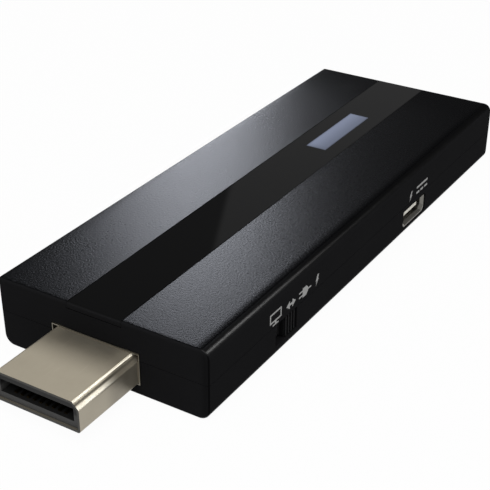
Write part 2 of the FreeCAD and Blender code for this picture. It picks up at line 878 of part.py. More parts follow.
pieces = {
    "upper_cover": upper_cover(),
    "lower_cover": lower_cover(),
    "centre_strip": centre_strip(),
    "strip_tape": strip_tape(),
    "indicator_window": indicator_window(),
    "light_guide": light_guide(),
    "status_lamps": status_lamps(),
    "hdmi_shell": hdmi_shell(),
    "hdmi_collar": hdmi_collar(),
    "hdmi_core": hdmi_core(),
    "hdmi_upper_contacts": Part.makeCompound(contact_row(upper_contact_count, 1)),
    "hdmi_lower_contacts": Part.makeCompound(contact_row(lower_contact_count, -1)),
    "circuit_board": circuit_board(),
    "board_screws": board_screws(),
    "processor": processor(),
    "memory_chips": memory_chips(),
    "shield_can": shield_can(),
    "thermal_pads": thermal_pads(),
    "heat_spreader": heat_spreader(),
    "flash_memory": flash_memory(),
    "radio_module": radio_module(),
    "radio_shield": radio_shield(),
    "radio_antennas": radio_antennas(),
    "crystal": crystal(),
    "power_coils": power_coils(),
    "power_regulator": power_regulator(),
    "chip_capacitors": chip_capacitors(),
    "usb_shell": usb_shell(),
    "usb_core": usb_core(),
    "usb_pins": Part.makeCompound(usb_pins()),
    "switch_frame": switch_frame(),
    "switch_base": switch_base(),
    "switch_terminals": switch_terminals(),
    "switch_lever": switch_lever(),
    "switch_knob": switch_knob(),
}

os.makedirs("parts", exist_ok=True)
for name, shape in pieces.items():
    shape.translate(V(0, front_face, 0))
    shape.exportStep("parts/" + name + ".step")
    print(name, "solids", len(shape.Solids), "volume", round(shape.Volume, 2), "valid", shape.isValid())
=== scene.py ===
import math

import bmesh
import bpy
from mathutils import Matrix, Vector


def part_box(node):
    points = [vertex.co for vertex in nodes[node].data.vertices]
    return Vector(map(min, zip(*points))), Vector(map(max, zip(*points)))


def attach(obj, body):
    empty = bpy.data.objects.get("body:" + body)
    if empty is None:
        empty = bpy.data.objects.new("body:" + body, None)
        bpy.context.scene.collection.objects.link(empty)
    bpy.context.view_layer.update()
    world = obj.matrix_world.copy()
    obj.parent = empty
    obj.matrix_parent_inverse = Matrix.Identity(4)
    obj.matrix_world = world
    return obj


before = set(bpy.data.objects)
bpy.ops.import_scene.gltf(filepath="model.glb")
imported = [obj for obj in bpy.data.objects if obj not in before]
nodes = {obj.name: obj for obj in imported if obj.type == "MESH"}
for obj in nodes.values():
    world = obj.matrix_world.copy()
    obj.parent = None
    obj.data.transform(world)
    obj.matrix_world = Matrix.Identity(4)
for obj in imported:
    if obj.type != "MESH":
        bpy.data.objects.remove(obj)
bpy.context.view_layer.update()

MM = 0.001


# Shader maths

class Wire:
    """A node's output that takes part in Python sums, each of which adds a Math node."""

    def __init__(self, finish, socket):
        self.finish = finish
        self.socket = socket

    def combine(self, operation, first, second):
        return self.finish.add("ShaderNodeMath", {"operation": operation}, {0: first, 1: second})["Value"]

    def __add__(self, other):
        return self.combine("ADD", self, other)

    def __radd__(self, other):
        return self.combine("ADD", other, self)

    def __sub__(self, other):
        return self.combine("SUBTRACT", self, other)

    def __rsub__(self, other):
        return self.combine("SUBTRACT", other, self)

    def __mul__(self, other):
        return self.combine("MULTIPLY", self, other)

    def __rmul__(self, other):
        return self.combine("MULTIPLY", other, self)

    def __truediv__(self, other):
        return self.combine("DIVIDE", self, other)

    def __neg__(self):
        return 0.0 - self

    def __abs__(self):
        return self.combine("ABSOLUTE", self, 0.0)

    def at_least(self, other):
        return self.combine("MAXIMUM", self, other)

    def cubed(self):
        return self * self * self


class Node:
    """A shader node whose outputs are read by name."""

    def __init__(self, finish, node):
        self.finish = finish
        self.node = node

    def __getitem__(self, name):
        return Wire(self.finish, self.node.outputs[name])


class Finish:
    """A node tree under construction: one material's, or the world's."""

    def __init__(self, owner):
        owner.use_nodes = True
        self.owner = owner
        self.tree = owner.node_tree
        self.tree.nodes.clear()
        self.place = None

    def add(self, kind, settings=None, inputs=None):
        node = self.tree.nodes.new(kind)
        for name, value in (settings or {}).items():
            setattr(node, name, value)
        for name, value in (inputs or {}).items():
            self.connect(value, node.inputs[name])
        return Node(self, node)

    def connect(self, value, socket):
        if isinstance(value, Wire):
            self.tree.links.new(value.socket, socket)
        else:
            socket.default_value = value

    def coordinates(self):
        """The piece's own coordinates, in metres."""
        if self.place is None:
            self.place = self.add("ShaderNodeTexCoord")["Object"]
        return self.place

    def parts(self, vector):
        """A vector's X, Y and Z."""
        split = self.add("ShaderNodeSeparateXYZ", None, {"Vector": vector})
        return split["X"], split["Y"], split["Z"]

    def axes(self):
        """Where on the piece a point is: across, along and up."""
        return self.parts(self.coordinates())

    def facing(self):
        """How far the surface faces right, back and up, each from -1 to 1."""
        return self.parts(self.add("ShaderNodeNewGeometry")["Normal"])

    def stretched(self, factors, turn=0.0):
        """The coordinates turned about Z and scaled along each axis, for grain that runs one way."""
        return self.add("ShaderNodeMapping", None,
                        {"Vector": self.coordinates(), "Rotation": (0.0, 0.0, turn), "Scale": factors})["Vector"]

    def noise(self, feature, detail=2.0, roughness=0.5, coordinates=None):
        """Noise from 0 to 1 whose features are about this large, in metres."""
        return self.add("ShaderNodeTexNoise", None,
                        {"Vector": coordinates or self.coordinates(), "Scale": 1.0 / feature,
                         "Detail": detail, "Roughness": roughness})["Fac"]

    def step(self, value, start, end):
        """Rises smoothly from 0 at the start to 1 at the end."""
        return self.add("ShaderNodeMapRange", {"interpolation_type": "SMOOTHSTEP"},
                        {"Value": value, "From Min": start, "From Max": end})["Result"]

    def band(self, value, start, full, fading, end):
        """Rises from 0 at the start to 1 where full, and falls from 1 where fading to 0 at the end."""
        return self.step(value, start, full) * (1.0 - self.step(value, fading, end))

    def blend(self, amount, first, second):
        """A colour between two, mixed by an amount from 0 to 1."""
        mix = self.add("ShaderNodeMix", {"data_type": "RGBA"})
        self.connect(amount, mix.node.inputs[0])
        self.connect(first, mix.node.inputs[6])
        self.connect(second, mix.node.inputs[7])
        return Wire(self, mix.node.outputs[2])

    def bump(self, height, depth, strength=1.0, normal=None):
        """The normal over a relief: a height of 1 is this depth, in metres."""
        inputs = {"Height": height, "Distance": depth, "Strength": strength}
        if normal is not None:
            inputs["Normal"] = normal
        return self.add("ShaderNodeBump", None, inputs)["Normal"]

    def surface(self, inputs):
        return self.add("ShaderNodeBsdfPrincipled", None, inputs)["BSDF"]

    def mixed(self, amount, first, second):
        mix = self.add("ShaderNodeMixShader", None, {0: amount, 1: first, 2: second})
        return mix["Shader"]

    def finished(self, shader, kind="ShaderNodeOutputMaterial"):
        """Wires the shader to the output, and gives the material or world."""
        self.add(kind, None, {"Surface": shader})
        return self.owner


def new_finish(name):
    """The finish of a new material."""
    return Finish(bpy.data.materials.new(name))


def colour(red, green, blue):
    """An opaque colour from its linear values."""
    return (red, green, blue, 1.0)


# Finishes of the housing

COVER_LOW, COVER_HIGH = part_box("upper_cover")
HALF_WIDTH = COVER_HIGH.x
FRONT_FACE, BACK_FACE = COVER_LOW.y, COVER_HIGH.y
BODY_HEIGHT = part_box("centre_strip")[1].z
BLACK = colour(0.0092, 0.0092, 0.0098)
BLACK_WORN = colour(0.0114, 0.0114, 0.0121)
# Painted shade of the front right corner
CORNER_SHADE_BLACK = colour(0.0015, 0.0015, 0.0016)
EDGE_BLACK = colour(0.0018, 0.0018, 0.0019)
EDGE_WORN = colour(0.0030, 0.0030, 0.0032)
MOULD_GRAIN = 0.12 * MM
MOULD_RELIEF = 0.004 * MM
CLOUD_RATIO = 20
EDGE_FADE_LENGTH = 38.0 * MM
TURNED_AWAY = (0.20, 0.60)

# The panels' normals turn towards their borders: how far from a border that starts, and how fast it grows
SIDE_CROWN_START, SIDE_CROWN, SIDE_CROWN_RIGHT = 2.75 * MM, 0.0022, 0.0238
FRONT_CROWN_START, FRONT_CROWN = 1.1 * MM, 0.022
BACK_CROWN_START, BACK_CROWN, BACK_CROWN_RIGHT = 18.0 * MM, 0.00012, 0.00006


def moulded_sides(finish):
    """Near-black plastic with painted shade down the front right corner: front and right dull, the rounded right
    edge glossy, left, back and underside satin.
    """
    grain = finish.noise(MOULD_GRAIN, detail=1.0)
    smudge = finish.noise(9.0 * MM, detail=3.0)
    normal = finish.bump(grain, MOULD_RELIEF, strength=0.5)
    across, along, _ = finish.axes()
    to_right, to_back, to_top = finish.facing()
    to_front = -to_back

    def skin(base, roughness, spread, specular):
        return finish.surface({"Base Color": base, "Roughness": roughness + spread * smudge, "Normal": normal,
                               "Specular IOR Level": specular})

    # Painted shade: a dark line down the rounded front right corner, and a fainter band of it beside the corner
    # on the front
    corner = 0.75 * finish.step(to_right, 0.45, 0.75) * finish.step(to_front, 0.12, 0.32)
    beside = 0.30 * finish.step(across, HALF_WIDTH - 1.5 * MM, HALF_WIDTH - 0.4 * MM) \
        * finish.step(to_front, 0.3, 0.7)
    plain = finish.blend(corner.at_least(beside), finish.blend(smudge, BLACK, BLACK_WORN), CORNER_SHADE_BLACK)
    wall = skin(plain, 0.42, 0.12, 0.0006)
    satin = skin(plain, 0.34, 0.10, 0.25)

    # The upper right edge gets duller towards the back, and its gloss ends at the front corner
    rim = finish.blend(smudge, EDGE_BLACK, EDGE_WORN)
    glossy_edge = skin(rim, 0.27, 0.06, 0.5)
    dull_edge = skin(rim, 0.42, 0.12, 0.001)
    fade = finish.step(along, FRONT_FACE, FRONT_FACE + EDGE_FADE_LENGTH)
    edge = finish.mixed(0.12 + 0.56 * fade, glossy_edge, dull_edge)
    rounded = finish.step(to_top, 0.50, 0.66) * finish.step(to_right, 0.02, 0.12) \
        * (1.0 - finish.step(to_front, 0.25, 0.50))
    away = finish.step(-to_right, *TURNED_AWAY).at_least(finish.step(to_back, *TURNED_AWAY)).at_least(
        finish.step(-to_top, *TURNED_AWAY))
    return finish.mixed(away, finish.mixed(rounded, wall, edge), satin)


def cover_finish(name, textured):
    """Moulded plastic, with a fine sparkling grain on the top panels where the cover has them."""
    finish = new_finish(name)
    sides = moulded_sides(finish)
    if not textured:
        return finish.finished(sides)
    across, along, height = finish.axes()
    grain = finish.noise(0.30 * MM, detail=2.0, roughness=0.6)
    cloud = finish.noise(7.0 * MM, detail=2.0)
    base = finish.blend(grain, colour(0.0010, 0.0010, 0.0012), colour(0.0030, 0.0031, 0.0035))
    right = finish.step(across, -1.0 * MM, 1.0 * MM)
    beside = (abs(across) - (HALF_WIDTH - SIDE_CROWN_START)).at_least(0.0) / MM
    ahead = ((FRONT_FACE + FRONT_CROWN_START) - along).at_least(0.0) / MM
    behind = (along - (BACK_FACE - BACK_CROWN_START)).at_least(0.0) / MM
    crown = finish.bump(-(SIDE_CROWN + SIDE_CROWN_RIGHT * right) * beside.cubed()
                        - FRONT_CROWN * ahead.cubed()
                        - (BACK_CROWN + BACK_CROWN_RIGHT * right) * behind.cubed(), 1.0 * MM)
    sparkle = finish.bump(grain * (1.00 - 0.34 * right), 0.032 * MM, strength=0.8, normal=crown)
    panel = finish.surface({"Base Color": base, "Normal": sparkle, "Specular IOR Level": 0.06,
                            "Roughness": 0.242 - 0.014 * right + 0.02 * cloud + 0.07 * grain})
    flat = finish.step(height, BODY_HEIGHT - 0.05 * MM, BODY_HEIGHT - 0.005 * MM)
    return finish.finished(finish.mixed(flat, sides, panel))


def gloss_finish(name):
    """Polished black acrylic with a breath of dust, painted shade along its joints, a dull front end and a satin
    back end.
    """
    finish = new_finish(name)
    dust = finish.step(finish.noise(0.35 * MM, detail=4.0, roughness=0.7), 0.62, 0.80)
    haze = finish.noise(14.0 * MM, detail=2.0)
    base = finish.blend(dust, colour(0.0022, 0.0022, 0.0024), colour(0.0045, 0.0045, 0.0047))
    waves = finish.bump(finish.noise(22.0 * MM, detail=1.0), 0.008 * MM, strength=0.15)
    top = finish.surface({"Base Color": base, "Roughness": 0.015 + 0.02 * haze + 0.03 * dust,
                          "Normal": waves, "Specular IOR Level": 0.5})

    grain = finish.noise(MOULD_GRAIN, detail=1.0)
    moulded = {"Base Color": finish.blend(grain, BLACK, BLACK_WORN),
               "Normal": finish.bump(grain, MOULD_RELIEF, strength=0.5)}
    dull = finish.surface({**moulded, "Roughness": 0.35 + 0.1 * grain, "Specular IOR Level": 0.004})
    satin = finish.surface({**moulded, "Roughness": 0.34 + 0.1 * grain, "Specular IOR Level": 0.25})
    _, to_back, to_top = finish.facing()
    end = finish.mixed(finish.step(to_back, *TURNED_AWAY), dull, satin)

    # Painted shade: a faint dark line along both long borders of the top, where the strip meets the panels
    low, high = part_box("centre_strip")
    middle, half = (low.x + high.x) / 2, (high.x - low.x) / 2
    joint_shade = finish.step(abs(finish.axes()[0] - middle), half - 0.17 * MM, half - 0.09 * MM)
    dark = finish.blend(grain, colour(0.0020, 0.0020, 0.0026), colour(0.0040, 0.0040, 0.0048))
    shadow = finish.surface({"Base Color": dark, "Roughness": 0.6, "Specular IOR Level": 0.0008})
    return finish.finished(finish.mixed(finish.step(to_top, 0.55, 0.85), end,
                                        finish.mixed(0.40 * joint_shade, top, shadow)))


def window_finish(name):
    """Milky blue-grey diffusing window over the lamps, with faint grain, painted shading from its left side to
    its right, and painted shade on its rim and front end.
    """
    finish = new_finish(name)
    across, along, _ = finish.axes()
    low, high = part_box("indicator_window")
    middle, half = (low + high) / 2, (high - low) / 2
    rim_shade_width, shade_length = 0.35 * MM, 1.6 * MM
    # Painted shade round the rim
    rim = finish.step(abs(across - middle.x), half.x - rim_shade_width, half.x).at_least(
        finish.step(abs(along - middle.y), half.y - rim_shade_width, half.y))
    grain = finish.noise(0.20 * MM, detail=2.0)
    # Painted shade at the front end
    shade = 1.0 - finish.step(along, low.y, low.y + shade_length)
    # Painted shading: lighter at the left side of the window and darker at the right
    face = finish.blend(finish.step(across, low.x, high.x), colour(0.274, 0.312, 0.430),
                        colour(0.164, 0.187, 0.260))
    face = finish.blend(0.30 * shade, face, colour(0.08, 0.09, 0.12))
    face = finish.blend(0.15 * grain, face, colour(0.27, 0.31, 0.42))
    base = finish.blend(0.45 * rim, face, colour(0.05, 0.055, 0.075))
    return finish.finished(finish.surface({"Base Color": base, "Roughness": 0.22 + 0.06 * grain,
                                           "Normal": finish.bump(grain, 0.003 * MM, strength=0.4),
                                           "Specular IOR Level": 0.3}))


# Finishes of the metal pieces

NICKEL_DARK = colour(0.320, 0.288, 0.226)
NICKEL = colour(0.410, 0.370, 0.295)
GOLD_DARK = colour(0.62, 0.42, 0.14)
GOLD = colour(0.82, 0.60, 0.24)
STEEL_DARK = colour(0.46, 0.46, 0.45)
STEEL = colour(0.62, 0.62, 0.60)
DRAWN = (1.0, 0.06, 1.0)
UNDRAWN = (1.0, 1.0, 1.0)
SCRATCHED = (1.0, 0.045, 1.0)
SCRATCH_TURN = math.radians(32.0)
LINE_WIDTH = 0.10 * MM
LINE_RELIEF = 0.0015 * MM
SHELL_LOW, SHELL_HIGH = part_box("hdmi_shell")
PLUG_TOP = SHELL_HIGH.z
PLUG_FRONT = SHELL_LOW.y
PLUG_FOLD = SHELL_HIGH.x - 0.9 * MM
CHAMFER_RISE = 1.05 * MM
CREASE_HALF_WIDTH = 0.20


def brushed_metal(name, dark, light, roughness, along=DRAWN):
    """Plated sheet with fine lines, drawn out along Y unless undrawn, and soft clouds."""
    finish = new_finish(name)
    lines = finish.noise(LINE_WIDTH, detail=3.0, coordinates=finish.stretched(along))
    cloud = finish.noise(3.5 * MM, detail=3.0)
    base = finish.blend(0.65 * cloud + 0.25 * lines, dark, light)
    return finish.finished(finish.surface({"Base Color": base, "Metallic": 1.0,
                                           "Roughness": roughness + 0.07 * lines + 0.06 * cloud,
                                           "Normal": finish.bump(lines, LINE_RELIEF, strength=0.5)}))


def plug_metal(name):
    """Drawn nickel-plated sheet with scratches, painted highlights on the fold and the cut corner, painted shade
    below the fold and towards the housing, and a dull mouth.
    """
    finish = new_finish(name)
    lines = finish.noise(LINE_WIDTH, detail=3.0, coordinates=finish.stretched(DRAWN))
    cloud = finish.noise(2.6 * MM, detail=3.0)
    skew = finish.stretched(SCRATCHED, SCRATCH_TURN)
    score = finish.step(finish.noise(0.22 * MM, detail=1.0, coordinates=skew), 0.68, 0.76)
    base = finish.blend(0.60 * cloud + 0.25 * lines + 0.25 * score, NICKEL_DARK, NICKEL)

    # From the top face to the foot of the cut corner, and from the mouth to the housing, each 0 to 1
    across, along, height = finish.axes()
    fall = (PLUG_TOP - height) / CHAMFER_RISE
    back = (along - PLUG_FRONT) / (FRONT_FACE - PLUG_FRONT)
    # Painted shade across the plug in a band short of the housing, stronger low on the cut corner
    shade = (0.16 + 0.20 * finish.step(fall, 0.80, 1.10)) * finish.band(back, 0.40, 0.62, 0.76, 0.90)
    # Painted shade in a band across the cut corner below the fold, weaker towards the back
    valley_shade = finish.band(fall, 0.20, 0.34, 0.42, 0.58) * (1.0 - 0.5 * finish.step(back, 0.45, 0.80))
    # Painted highlight: a streak low on the cut corner's front part
    streak_highlight = finish.band(fall, 0.48, 0.62, 0.94, 1.02) * (1.0 - finish.step(back, 0.42, 0.70))
    # Painted highlight along the fold, near the top
    crease = (CREASE_HALF_WIDTH - abs(across - PLUG_FOLD) / MM).at_least(0.0)
    near_top = finish.step(height, PLUG_TOP - 0.40 * MM, PLUG_TOP - 0.30 * MM)
    base = finish.blend(shade, base, colour(0.100, 0.090, 0.075))
    base = finish.blend(0.80 * valley_shade, base, colour(0.085, 0.077, 0.062))
    base = finish.blend(finish.step(crease, 0.04, 0.14) * near_top, base, colour(0.780, 0.750, 0.670))
    base = finish.blend(streak_highlight, base, colour(0.740, 0.700, 0.600))

    # The cut corner is bent sheet, so its normals and those of the fold above it turn as on a rounding
    fold = (height - (PLUG_TOP - 0.62 * MM)) / MM
    folded = finish.band(height, PLUG_TOP - 1.05 * MM, PLUG_TOP - 0.95 * MM, PLUG_TOP - 0.36 * MM,
                         PLUG_TOP - 0.24 * MM)
    rolled = finish.bump(fold * fold * folded * 0.26 - crease * crease * near_top * 1.35, 1.0 * MM)
    drawn = finish.bump(lines, LINE_RELIEF, strength=0.5, normal=rolled)
    normal = finish.bump(score, -0.003 * MM, strength=0.7, normal=drawn)
    sheet = finish.surface({"Base Color": base, "Metallic": 0.76,
                            "Roughness": 0.31 + 0.05 * lines + 0.05 * cloud, "Normal": normal})

    burr = finish.noise(0.12 * MM, detail=2.0)
    bare = finish.blend(burr, colour(0.050, 0.049, 0.046), colour(0.085, 0.083, 0.078))
    cut = finish.surface({"Base Color": bare, "Roughness": 0.55 + 0.1 * burr, "Specular IOR Level": 0.10,
                          "Normal": finish.bump(burr, 0.006 * MM, strength=0.6)})
    to_front = -finish.facing()[1]
    return finish.finished(finish.mixed(finish.step(to_front, 0.80, 0.95), sheet, cut))


# Finishes of the small moulded and inner pieces

def small_plastic(name, dark, light, roughness, grain_size, specular=0.4):
    """Moulded or cast material with fine grain and large soft clouds."""
    finish = new_finish(name)
    grain = finish.noise(grain_size, detail=2.0)
    cloud = finish.noise(CLOUD_RATIO * grain_size, detail=2.0)
    base = finish.blend(0.6 * cloud + 0.4 * grain, dark, light)
    return finish.finished(finish.surface({"Base Color": base, "Roughness": roughness + 0.1 * grain,
                                           "Normal": finish.bump(grain, MOULD_RELIEF, strength=0.5),
                                           "Specular IOR Level": specular}))


def knob_finish(name):
    """Black plastic, with painted light making the flange behind the wall paler."""
    finish = new_finish(name)
    grain = finish.noise(MOULD_GRAIN, detail=2.0)
    cloud = finish.noise(CLOUD_RATIO * MOULD_GRAIN, detail=2.0)
    base = finish.blend(0.6 * cloud + 0.4 * grain, colour(0.0062, 0.0062, 0.0066),
                        colour(0.0084, 0.0084, 0.0089))
    # Painted light: the flange behind the wall, which lies in shade, is made paler
    recess_fill_light = 1.0 - finish.step(finish.axes()[0], HALF_WIDTH - 1.2 * MM, HALF_WIDTH - 1.0 * MM)
    base = finish.blend(recess_fill_light, base, colour(0.032, 0.032, 0.033))
    return finish.finished(finish.surface({"Base Color": base, "Roughness": 0.42 + 0.1 * grain,
                                           "Normal": finish.bump(grain, MOULD_RELIEF, strength=0.5),
                                           "Specular IOR Level": 0.015}))


def core_plastic(name):
    """The plug's grey core, with painted shade darkening it above its middle and on the slot's floor."""
    finish = new_finish(name)
    grain = finish.noise(0.15 * MM, detail=2.0)
    low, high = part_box("hdmi_core")
    middle = (low.z + high.z) / 2
    # Painted shade inside the mouth: above the middle, and on faces that look up
    dark = finish.step(finish.axes()[2], middle - 0.3 * MM, middle + 0.3 * MM).at_least(
        finish.step(finish.facing()[2], 0.5, 0.9))
    base = finish.blend(grain, colour(0.040, 0.040, 0.040), colour(0.056, 0.056, 0.055))
    base = finish.blend(dark, base, colour(0.012, 0.012, 0.012))
    return finish.finished(finish.surface({"Base Color": base, "Roughness": 0.5 + 0.1 * grain,
                                           "Normal": finish.bump(grain, 0.006 * MM, strength=0.6),
                                           "Specular IOR Level": 0.2}))


def clear_plastic(name):
    """Clear acrylic with a slight haze."""
    finish = new_finish(name)
    haze = finish.noise(0.8 * MM, detail=2.0)
    base = finish.blend(haze, colour(0.80, 0.85, 0.88), colour(0.90, 0.93, 0.95))
    return finish.finished(finish.surface({"Base Color": base, "Roughness": 0.08 + 0.08 * haze,
                                           "Transmission Weight": 0.85, "IOR": 1.49}))


def board_finish(name):
    """Green solder mask over copper: tracks in two directions, and small plated holes."""
    finish = new_finish(name)
    track_pitch, hole_pitch = 1.3 * MM, 1.9 * MM
    lane = finish.add("ShaderNodeTexBrick", {"offset": 0.5, "squash": 1.0},
                      {"Vector": finish.coordinates(), "Scale": 1.0 / track_pitch, "Mortar Size": 0.055,
                       "Mortar Smooth": 0.1, "Brick Width": 2.6, "Row Height": 0.42})["Fac"]
    hole = finish.add("ShaderNodeTexVoronoi", None,
                      {"Vector": finish.coordinates(), "Scale": 1.0 / hole_pitch})["Distance"]
    ring = 1.0 - finish.step(hole, 0.13, 0.16)
    mask = finish.blend(lane, colour(0.006, 0.060, 0.028), colour(0.012, 0.110, 0.048))
    base = finish.blend(ring, mask, colour(0.55, 0.42, 0.20))
    relief = finish.bump(lane.at_least(ring), 0.03 * MM, strength=0.8)
    return finish.finished(finish.surface({"Base Color": base, "Metallic": 0.8 * ring,
                                           "Roughness": 0.32 - 0.08 * ring, "Normal": relief}))


def lamp_finish(name):
    """Pale cast resin of an unlit lamp."""
    finish = new_finish(name)
    grain = finish.noise(0.3 * MM)
    base = finish.blend(grain, colour(0.75, 0.76, 0.70), colour(0.85, 0.84, 0.72))
    return finish.finished(finish.surface({"Base Color": base, "Roughness": 0.25 + 0.1 * grain}))


EPOXY = colour(0.010, 0.010, 0.011)
EPOXY_WORN = colour(0.022, 0.022, 0.024)

finishes = {
    "textured_cover": cover_finish("textured_black_cover", True),
    "plain_cover": cover_finish("satin_black_cover", False),
    "gloss_strip": gloss_finish("polished_black_strip"),
    "window": window_finish("milky_window"),
    "clear_plastic": clear_plastic("clear_light_guide"),
    "lamp": lamp_finish("lamp_lens"),
    "tape": small_plastic("adhesive_tape", colour(0.45, 0.43, 0.38), colour(0.58, 0.56, 0.50), 0.6,
                          0.3 * MM),
    "plug_metal": plug_metal("plug_nickel"),
    "collar_metal": brushed_metal("collar_nickel", colour(0.17, 0.155, 0.125), colour(0.25, 0.23, 0.19), 0.30,
                                  along=UNDRAWN),
    # Painted shade: the plug's contacts get a far darker gold than the other gold contacts
    "plug_contacts": brushed_metal("plug_gold_contacts", colour(0.09, 0.065, 0.028),
                                   colour(0.14, 0.10, 0.045), 0.26),
    # Painted shade: the port's nickel is far darker than the plug's, for the shade inside the port
    "port_metal": brushed_metal("port_nickel", colour(0.16, 0.155, 0.14), colour(0.24, 0.23, 0.21), 0.30,
                                along=UNDRAWN),
    "sheet_metal": brushed_metal("tinned_sheet", STEEL_DARK, STEEL, 0.30),
    "screw_metal": brushed_metal("screw_steel", STEEL_DARK, STEEL, 0.26, along=UNDRAWN),
    "spreader_metal": brushed_metal("aluminium_sheet", colour(0.62, 0.63, 0.64), colour(0.76, 0.77, 0.78),
                                    0.32),
    "contact_metal": brushed_metal("gold_contacts", GOLD_DARK, GOLD, 0.20),
    "insulator": small_plastic("black_insulator", EPOXY, EPOXY_WORN, 0.45, 0.2 * MM),
    "plug_core": core_plastic("plug_core_grey"),
    "tongue": small_plastic("ivory_tongue", colour(0.74, 0.71, 0.62), colour(0.86, 0.83, 0.74), 0.38,
                            0.2 * MM),
    "knob_plastic": knob_finish("knob_black"),
    "chip": small_plastic("chip_epoxy", EPOXY, EPOXY_WORN, 0.52, 0.15 * MM),
    "board": board_finish("solder_mask"),
    "thermal_pad": small_plastic("thermal_pad_rubber", colour(0.30, 0.34, 0.40), colour(0.38, 0.42, 0.48),
                                 0.7, 0.25 * MM),
    "ferrite": small_plastic("ferrite_block", colour(0.030, 0.030, 0.032), colour(0.055, 0.054, 0.056),
                             0.55, 0.2 * MM),
    "ceramic": small_plastic("capacitor_ceramic", colour(0.40, 0.30, 0.20), colour(0.52, 0.42, 0.30),
                             0.45, 0.2 * MM),
}

# Nodes whose finish isn't the one that their CAD slot is named for
OWN_FINISHES = {"hdmi_core": "plug_core", "hdmi_collar": "collar_metal",
                "hdmi_upper_contacts": "plug_contacts", "hdmi_lower_contacts": "plug_contacts"}
for name, node in nodes.items():
    slot = OWN_FINISHES.get(name, node.data.materials[0].name)
    node.data.materials[0] = finishes[slot]


# Printed signs on the right side

def print_finish():
    """Pale grey ink, slightly worn."""
    finish = new_finish("pale_print")
    speckle = finish.noise(0.09 * MM, detail=2.0)
    worn = finish.step(finish.noise(0.5 * MM, detail=3.0), 0.62, 0.80)
    base = finish.blend(0.5 * speckle + 0.3 * worn, colour(0.34, 0.34, 0.33), colour(0.30, 0.30, 0.31))
    return finish.finished(finish.surface({"Base Color": base, "Roughness": 0.55 + 0.1 * speckle,
                                           "Specular IOR Level": 0.1}))


PRINT = print_finish()
PRINT_DEPTH = 0.02 * MM
SIDE_DRAFT = 0.1 * MM


def side_x(height):
    """How far out the right wall stands at a height."""
    return HALF_WIDTH - SIDE_DRAFT * (1 - height / BODY_HEIGHT)


def add_piece(name, mesh_builder, material, body):
    """A new visible piece that rides on a body."""
    mesh = bmesh.new()
    mesh_builder(mesh)
    bmesh.ops.recalc_face_normals(mesh, faces=mesh.faces)
    data = bpy.data.meshes.new(name)
    mesh.to_mesh(data)
    mesh.free()
    data.materials.append(material)
    piece = bpy.data.objects.new(name, data)
    bpy.context.scene.collection.objects.link(piece)
    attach(piece, body)
    return piece


def side_patch(mesh, outline):
    """A thin plate printed on the right wall: the outline is in mm from the front face and the underside."""
    rings = []
    for proud in (-PRINT_DEPTH, PRINT_DEPTH):
        ring = []
        for along, height in outline:
            z = height * MM
            ring.append(mesh.verts.new((side_x(z) + proud, FRONT_FACE + along * MM, z)))
        rings.append(ring)
    inner, outer = rings
    mesh.faces.new(outer)
    mesh.faces.new(list(reversed(inner)))
    count = len(outline)
    for i in range(count):
        j = (i + 1) % count
        mesh.faces.new((inner[i], inner[j], outer[j], outer[i]))


def bar(along, height, length, rise):
    """The outline of a rectangle, in mm as all of the signs' sizes."""
    return [(along, height), (along + length, height), (along + length, height + rise),
            (along, height + rise)]


def frame_of_bars(along, height, length, rise, line):
    """Four bars round a rectangle."""
    return [bar(along, height, length, line), bar(along, height + rise - line, length, line),
            bar(along, height + line, line, rise - 2 * line),
            bar(along + length - line, height + line, line, rise - 2 * line)]


def bolt(along, height, length, rise):
    """A lightning bolt, leaning towards the plug at its foot."""
    shape = [(0.55, 1.0), (1.0, 1.0), (0.72, 0.60), (1.0, 0.60), (0.10, 0.0), (0.42, 0.44), (0.08, 0.44)]
    return [(along + x * length, height + z * rise) for x, z in shape]


def double_arrow(along, height, length, rise):
    """An arrow with a head at each end."""
    head = 0.36 * length
    low, mid, high = height, height + rise / 2, height + rise
    shaft = 0.14 * rise
    near, far = along + head, along + length - head
    return [(along, mid), (near, high), (near, mid + shaft), (far, mid + shaft), (far, high),
            (along + length, mid), (far, low), (far, mid - shaft), (near, mid - shaft), (near, low)]


def draw_signs(outlines):
    """The mesh builder of these outlines."""
    def build(mesh):
        for outline in outlines:
            side_patch(mesh, outline)
    return build


def screen_sign(along, height):
    """A screen on its stand."""
    return frame_of_bars(along, height + 0.55, 3.0, 1.55, 0.26) + [
        bar(along + 1.3, height + 0.22, 0.4, 0.33), bar(along + 0.75, height, 1.5, 0.22)]


def power_sign(along, height):
    """A mains plug lying on its side: two pins, a body and a lead."""
    body = [(along + 1.0, height), (along + 2.0, height), (along + 2.5, height + 0.45),
            (along + 2.5, height + 1.05), (along + 2.0, height + 1.5), (along + 1.0, height + 1.5)]
    line = 0.24
    return [body, bar(along, height + 0.28, 1.0, line), bar(along, height + 0.98, 1.0, line),
            bar(along + 2.5, height + 0.63, 0.9, line)]


def direct_current_sign(along, height):
    """A long bar over three short ones."""
    line = 0.36
    return [bar(along, height + 0.95, 4.1, line)] + [bar(along + i * 1.5, height, 1.1, line)
                                                     for i in range(3)]


# Where the signs stand: mm from the front face and from the underside
BOLT_LENGTH, BOLT_RISE = 0.95, 1.75
add_piece("switch_signs",
          draw_signs(screen_sign(14.6, 5.75) + [double_arrow(18.9, 6.15, 2.5, 1.3)]
                     + power_sign(22.3, 6.05) + [bolt(26.9, 5.95, BOLT_LENGTH, BOLT_RISE)]),
          PRINT, "adapter")
add_piece("port_signs",
          draw_signs([bolt(57.6, 5.6, BOLT_LENGTH, BOLT_RISE)] + direct_current_sign(60.2, 6.0)),
          PRINT, "adapter")


# Finger ribs of the slide knob

RIB_COUNT = 4
RIB_PITCH = 0.725 * MM
RIB_RADIUS = 0.17 * MM
RIB_HEIGHT = 2.5 * MM
RIB_MIDDLE = 3.45 * MM
RIB_SINK = 0.22 * MM
RIB_SIDES = 20


